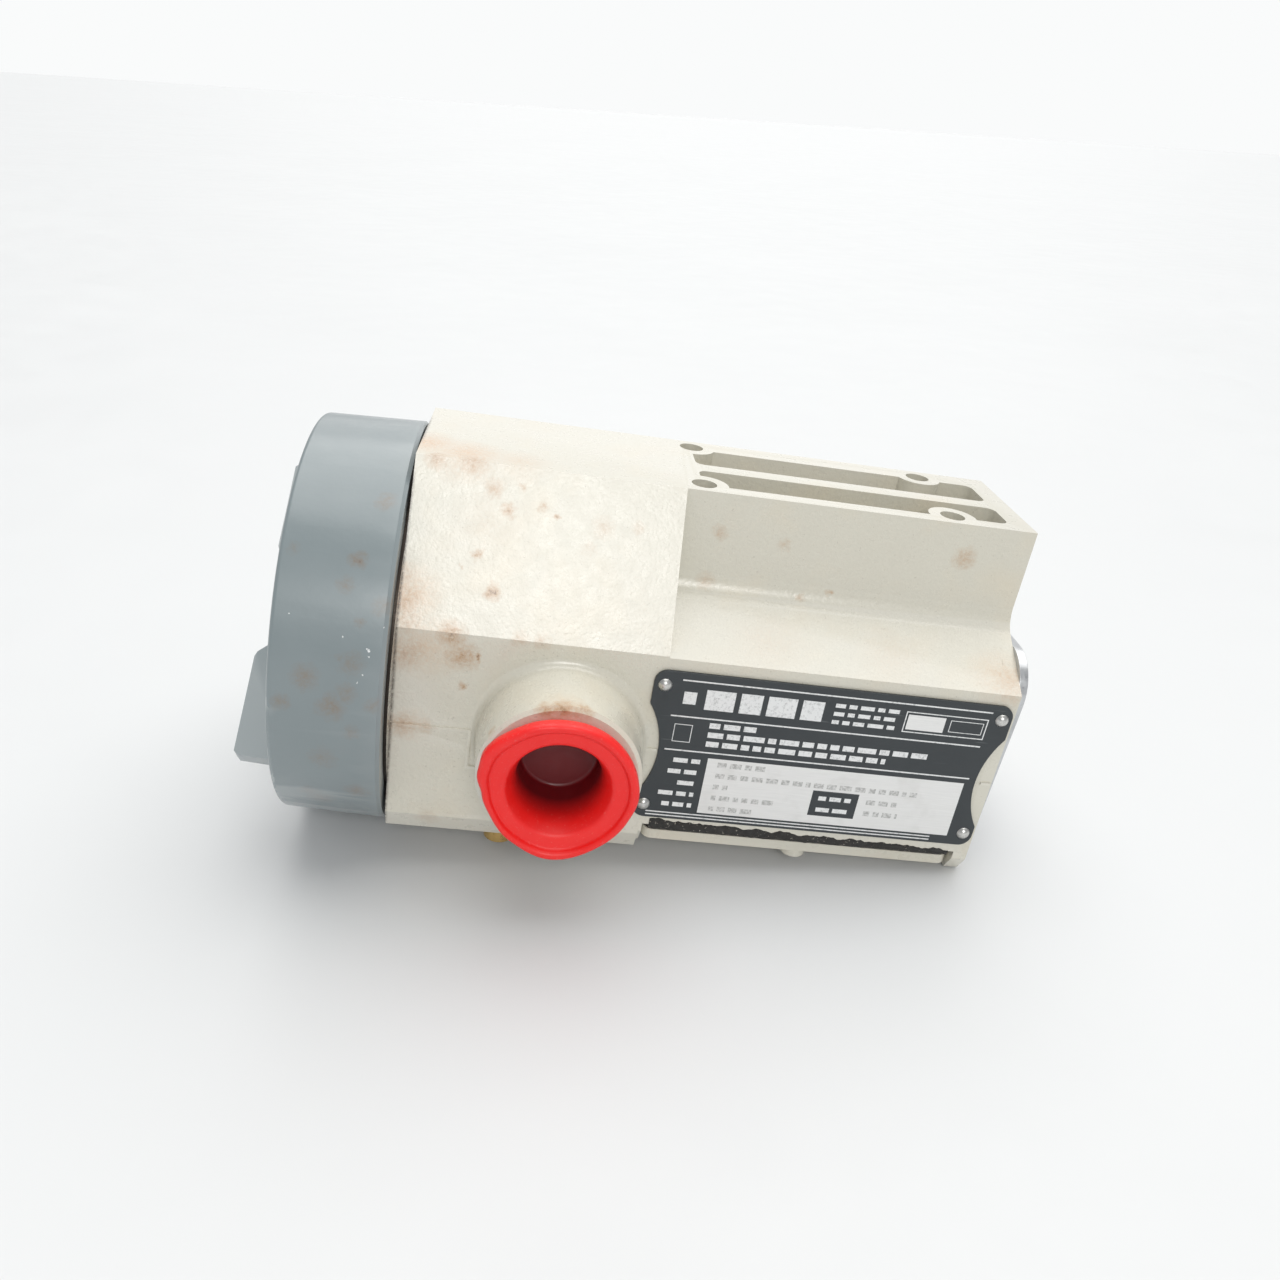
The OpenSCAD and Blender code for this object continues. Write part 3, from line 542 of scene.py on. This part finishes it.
def warp_at(angle):
    degrees = math.degrees(angle) % 360
    for (a0, r0, w0), (a1, r1, w1) in zip(FLANGE_WARP, FLANGE_WARP[1:]):
        if degrees <= a1:
            t = (degrees - a0) / (a1 - a0)
            t = t * t * (3 - 2 * t)
            return r0 + (r1 - r0) * t, w0 + (w1 - w0) * t
    return 1.0, 0.0


def warped(angle, radius, out):
    """The flange bends; the body below it stays round."""
    share = min(max((radius - FLANGE_INNER_R) / (FLANGE_OUTER_R - FLANGE_INNER_R), 0.0), 1.0)
    scale, lift = warp_at(angle)
    return radius * (1 + (scale - 1) * share), out + lift * share


def build_plug(segments=144):
    profile = list(PLUG_OUTSIDE) + PLUG_LIP + list(PLUG_INSIDE)
    bm = bmesh.new()
    rings = []
    for i in range(segments):
        angle = 2 * math.pi * i / segments
        ring = []
        for radius, out in profile:
            r, w = warped(angle, radius, out)
            place = (HUB_X + r * MM * math.cos(angle), FLANGE_UNDER_Y - w * MM,
                     HUB_Z + r * MM * math.sin(angle))
            ring.append(bm.verts.new(place))
        rings.append(ring)
    for this, following in zip(rings, rings[1:] + rings[:1]):
        for k in range(len(profile) - 1):
            bm.faces.new((this[k], this[k + 1], following[k + 1], following[k]))
    bmesh.ops.remove_doubles(bm, verts=bm.verts, dist=1e-6)
    bmesh.ops.recalc_face_normals(bm, faces=bm.faces)
    for face in bm.faces:
        face.smooth = True
    return mesh_of(bm, "conduit_plug")


plug = piece("conduit_plug_detail", build_plug(), "conduit_plug",
             [FINISHES["plastic_red"]])
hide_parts("conduit_plug")


# ---- ragged gasket -------------------------------------------------------


def build_gasket():
    """The gasket's outline, cut unevenly and squeezed out here and there."""
    bm = clean_solid("adjustment_gasket")
    long_edges = [e for e in bm.edges if e.calc_length() > 20 * MM]
    bmesh.ops.subdivide_edges(bm, edges=long_edges, cuts=60)
    low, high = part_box("adjustment_gasket")
    middle = (low + high) / 2
    for vertex in bm.verts:
        x, y, z = vertex.co
        outer_x = min(x - low.x, high.x - x) < 0.3 * MM
        outer_y = min(y - low.y, high.y - y) < 0.3 * MM
        swell = noise.noise(Vector((x, y, 0)) / (3.5 * MM)) + 0.6 * noise.noise(
            Vector((x, y, z)) / (1.1 * MM))
        push = max(swell, -0.55) * 0.75 * MM
        if outer_y:
            vertex.co.y += math.copysign(push, y - middle.y)
        if outer_x:
            vertex.co.x += math.copysign(push * 0.5, x - middle.x)
    for face in bm.faces:
        face.smooth = False
    return mesh_of(bm, "adjustment_gasket")


gasket = piece("adjustment_gasket_detail", build_gasket(), BODY_OF["adjustment_gasket"],
               [FINISHES["gasket_black"]])
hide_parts("adjustment_gasket")


def loft(bm, rings):
    """Skins closed rings one after another and caps both ends."""
    count = len(rings[0])
    for this, following in zip(rings, rings[1:]):
        for k in range(count):
            n = (k + 1) % count
            bm.faces.new((this[k], this[n], following[n], following[k]))
    bm.faces.new(rings[0])
    bm.faces.new(rings[-1])
    bmesh.ops.recalc_face_normals(bm, faces=bm.faces)
    for face in bm.faces:
        face.smooth = len(face.verts) == 4


def build_squeeze_out(columns=150):
    """Black compound pushed out over the casting's lower edge, thickest at the hub's end."""
    low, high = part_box("adjustment_gasket")
    edge_z = high.z
    bm = bmesh.new()
    rings = []
    for i in range(columns + 1):
        share = i / columns
        x = low.x + (high.x - low.x) * (0.01 + 0.98 * share)
        lump = noise.noise(Vector((x, 0, 0)) / (4.0 * MM)) + 0.7 * noise.noise(
            Vector((x, 1, 0)) / (1.3 * MM))
        climb = max((1.9 - 1.5 * share) + 0.8 * lump, 0.15) * MM
        thick = (0.28 + 0.16 * lump) * MM
        drop = (1.5 + 0.4 * noise.noise(Vector((x, 2, 0)) / (2.0 * MM))) * MM
        rings.append([bm.verts.new((x, SIDE_Y + y, z)) for y, z in (
            (0.5 * MM, edge_z + climb * 0.6), (0.02 * MM, edge_z + climb),
            (-thick * 0.6, edge_z + climb * 0.85), (-thick, edge_z + climb * 0.3),
            (-thick * 0.8, edge_z - drop * 0.5), (0.3 * MM, edge_z - drop),
            (1.7 * MM, edge_z - drop), (1.7 * MM, edge_z - 0.1 * MM), (0.5 * MM, edge_z - 0.05 * MM),
        )])
    loft(bm, rings)
    return mesh_of(bm, "gasket_squeeze_out")


piece("gasket_squeeze_out", build_squeeze_out(), BODY_OF["adjustment_gasket"],
      [FINISHES["gasket_black"]])


# ---- range spring --------------------------------------------------------


FLAT_END_TURNS = 0.75


def build_spring(turns=8, wire=1.5 * MM, steps=40, sides=12):
    """Round wire wound with a closed, flattened turn at each end."""
    low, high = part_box("range_spring")
    centre_y, centre_z = (low.y + high.y) / 2, (low.z + high.z) / 2
    radius = (high.y - low.y) / 2 - wire
    first, last = low.x + wire, high.x - wire
    bm = bmesh.new()
    rings = []
    count = turns * steps
    for i in range(count + 1):
        turn = turns * i / count
        open_share = min(max((turn - FLAT_END_TURNS) / (turns - 2 * FLAT_END_TURNS), 0.0), 1.0)
        from_end = max(turn - turns + FLAT_END_TURNS, 0.0)
        closed = 2 * wire * 0.25 * (min(turn, FLAT_END_TURNS) + from_end - FLAT_END_TURNS)
        x = first + (last - first) * open_share + closed * (1 - open_share) * 0.3
        angle = 2 * math.pi * turn
        outward = Vector((0, math.cos(angle), math.sin(angle)))
        centre = Vector((x, centre_y, centre_z)) + outward * radius
        rings.append([
            bm.verts.new(centre + wire * (outward * math.cos(b) + Vector((math.sin(b), 0, 0))))
            for b in (2 * math.pi * k / sides for k in range(sides))
        ])
    loft(bm, rings)
    return mesh_of(bm, "range_spring")


def add_spring():
    """The spring, built in the CAD spring's place between the seat and the casting side."""
    mesh = build_spring()
    mesh.materials.append(FINISHES["spring_steel"])
    spring = bpy.data.objects.new("range_spring_detail", mesh)
    bpy.context.scene.collection.objects.link(spring)
    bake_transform(spring)
    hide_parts("range_spring")


add_spring()


# ---- nameplate print -----------------------------------------------------

PRINT_LIFT = 0.03 * MM
PLATE_FACE_Y = PLATE_LOW.y
# Plain rules: left, right, bottom and top, as shares of the plate's length and height.
RULES = (
    (0.075, 0.94, 0.948, 0.957), (0.06, 0.935, 0.712, 0.721), (0.06, 0.935, 0.484, 0.493),
    (0.04, 0.875, 0.040, 0.048), (0.04, 0.875, 0.018, 0.026),
)
# Generic blocks in the banner and bars in the band under it.
BANNER_BARS = (
    (0.145, 0.225, 0.775, 0.905), (0.240, 0.300, 0.775, 0.905), (0.315, 0.395, 0.775, 0.905),
    (0.410, 0.470, 0.775, 0.905),
)


def tile(bm, left, right, bottom, top, lift=PRINT_LIFT):
    """A thin raised rectangle on the nameplate, by shares of its length and height."""
    low, high = PLATE_LOW, PLATE_HIGH
    xs = [low.x + (high.x - low.x) * u for u in (left, right)]
    zs = [low.z + (high.z - low.z) * v for v in (bottom, top)]
    y = PLATE_FACE_Y
    front = [bm.verts.new((x, y - lift, z)) for x, z in
             ((xs[0], zs[0]), (xs[1], zs[0]), (xs[1], zs[1]), (xs[0], zs[1]))]
    back = [bm.verts.new((v.co.x, y + 0.02 * MM, v.co.z)) for v in front]
    bm.faces.new(front)
    bm.faces.new(back[::-1])
    for k in range(4):
        n = (k + 1) % 4
        bm.faces.new((front[k], back[k], back[n], front[n]))


def outline(bm, left, right, bottom, top, line=0.003):
    tall = line * (PLATE_HIGH.x - PLATE_LOW.x) / (PLATE_HIGH.z - PLATE_LOW.z)
    tile(bm, left, right, top - tall, top)
    tile(bm, left, right, bottom, bottom + tall)
    tile(bm, left, left + line, bottom + tall, top - tall)
    tile(bm, right - line, right, bottom + tall, top - tall)


def bar_row(bm, left, right, bottom, top, longest, rng, lift=PRINT_LIFT):
    """A row of plain bars of uneven length, where the original has a line of lettering."""
    u = left
    while u < right - 0.006:
        length = min(rng.uniform(0.35, 1.0) * longest, right - u)
        tile(bm, u, u + length, bottom, top, lift)
        u += length + 0.010


def finish_print(bm, name, material):
    bmesh.ops.recalc_face_normals(bm, faces=bm.faces)
    piece(name, mesh_of(bm, name), "housing", [material])


def add_print():
    rng = random.Random(7)
    white, dark, field, grey = bmesh.new(), bmesh.new(), bmesh.new(), bmesh.new()
    for rule in RULES:
        tile(white, *rule)
    for bar in BANNER_BARS:
        tile(white, *bar)
    tile(white, 0.085, 0.120, 0.80, 0.88)
    for v in (0.880, 0.825, 0.770):
        bar_row(white, 0.500, 0.680, v, v + 0.026, 0.05, rng)
    outline(white, 0.700, 0.935, 0.765, 0.905)
    tile(field, 0.708, 0.815, 0.785, 0.885)
    outline(white, 0.830, 0.925, 0.795, 0.875, 0.002)
    outline(white, 0.075, 0.125, 0.545, 0.665, 0.002)
    for v, right in ((0.655, 0.30), (0.592, 0.80), (0.530, 0.68)):
        bar_row(white, 0.170, right, v, v + 0.036, 0.06, rng)
    tile(field, 0.185, 0.925, 0.062, 0.452, 0.02 * MM)
    for row, width in enumerate((0.075, 0.085, 0.052, 0.100, 0.085)):
        v = 0.405 - row * 0.078
        bar_row(white, 0.165 - width, 0.165, v, v + 0.030, 0.05, rng)
    tile(dark, 0.500, 0.635, 0.120, 0.300, 0.035 * MM)
    for v in (0.232, 0.150):
        bar_row(white, 0.520, 0.615, v, v + 0.030, 0.05, rng, 0.05 * MM)
    for row, right in enumerate((0.36, 0.80, 0.27, 0.40, 0.34)):
        v = 0.395 - row * 0.078
        bar_row(grey, 0.215, right, v, v + 0.034, 0.035, rng, 0.035 * MM)
    for v in (0.232, 0.150):
        bar_row(grey, 0.660, 0.760, v, v + 0.034, 0.03, rng, 0.035 * MM)
    finish_print(white, "nameplate_print", plate_print())
    finish_print(dark, "nameplate_box", FINISHES["plate_dark"])
    finish_print(field, "nameplate_field", data_field())
    finish_print(grey, "nameplate_entries", faint_ink())


add_print()


# ---- stage, light and camera ---------------------------------------------


# Broad light: direction it comes from, strength and angular size in degrees.
OVERHEAD = ((0.05, 0.28, 1.0), 2.15, 70)
FRONT = ((0.03, -0.84, 0.54), 0.93, 22)
BACK = ((0.05, 0.90, 0.50), 0.36, 50)
FILL_STRENGTH = 0.46
# The picture's camera: its directions and place, and its lens on a 36 mm wide sensor.
CAMERA_RIGHT = Vector((0.987, -0.060, 0.152))
CAMERA_BACK = Vector((-0.121, -0.893, 0.433))
CAMERA_PLACE = Vector((-0.0806, -0.2870, 0.0838))
LENS = 30.44
SENSOR = 36.0


def resting_plane():
    """The switch rests on the cover's rim and on the clamp plate's foot."""
    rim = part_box("cover")
    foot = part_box("clamp_plate")
    tilt = math.atan2(foot[0].z - rim[0].z, foot[1].x - rim[1].x)
    point = Vector((rim[1].x - 1 * MM, 0, rim[0].z - 0.3 * MM))
    return point, Matrix.Rotation(-tilt, 3, "Y")


def add_floor():
    point, turn = resting_plane()
    bm = bmesh.new()
    bmesh.ops.create_grid(bm, x_segments=1, y_segments=1, size=30.0)
    bmesh.ops.transform(bm, matrix=Matrix.Translation(point) @ turn.to_4x4(), verts=bm.verts)
    floor = bpy.data.objects.new("floor", mesh_of(bm, "floor"))
    floor.data.materials.append(table_top())
    bpy.context.scene.collection.objects.link(floor)


def add_world():
    """Pale surroundings, brighter to the camera than as a light."""
    world = bpy.data.worlds.new("studio")
    world.use_nodes = True
    tree = world.node_tree
    tree.nodes.clear()
    fill = tree.nodes.new("ShaderNodeBackground")
    seen = tree.nodes.new("ShaderNodeBackground")
    fill.inputs["Color"].default_value = (0.96, 0.98, 1.0, 1.0)
    fill.inputs["Strength"].default_value = FILL_STRENGTH
    seen.inputs["Color"].default_value = (0.955, 0.965, 0.965, 1.0)
    mix = tree.nodes.new("ShaderNodeMixShader")
    path = tree.nodes.new("ShaderNodeLightPath")
    output = tree.nodes.new("ShaderNodeOutputWorld")
    tree.links.new(path.outputs["Is Camera Ray"], mix.inputs[0])
    tree.links.new(fill.outputs[0], mix.inputs[1])
    tree.links.new(seen.outputs[0], mix.inputs[2])
    tree.links.new(mix.outputs[0], output.inputs["Surface"])
    bpy.context.scene.world = world


def add_soft_light(name, direction, strength, spread):
    light = bpy.data.lights.new(name, "SUN")
    light.energy = strength
    light.angle = math.radians(spread)
    light.color = (1.0, 0.99, 0.97)
    lamp = bpy.data.objects.new(name, light)
    lamp.rotation_euler = Vector(direction).to_track_quat("Z", "Y").to_euler()
    bpy.context.scene.collection.objects.link(lamp)


def add_light():
    """A broad ceiling, a smaller softbox behind the camera and a weak one behind the switch."""
    add_soft_light("overhead", *OVERHEAD)
    add_soft_light("front", *FRONT)
    add_soft_light("back", *BACK)
    add_world()


def add_camera():
    """Camera at the picture's place, from its right and backward directions."""
    right = CAMERA_RIGHT.normalized()
    up = CAMERA_BACK.cross(right).normalized()
    back = right.cross(up)
    camera = bpy.data.cameras.new("camera")
    camera.lens = LENS
    camera.sensor_width = SENSOR
    camera.clip_start = 0.01
    holder = bpy.data.objects.new("camera", camera)
    turn = Matrix((right, up, back)).transposed().to_4x4()
    holder.matrix_world = Matrix.Translation(CAMERA_PLACE) @ turn
    bpy.context.scene.collection.objects.link(holder)
    bpy.context.scene.camera = holder


add_floor()
add_light()
add_camera()
bpy.context.scene.view_settings.view_transform = "Standard"
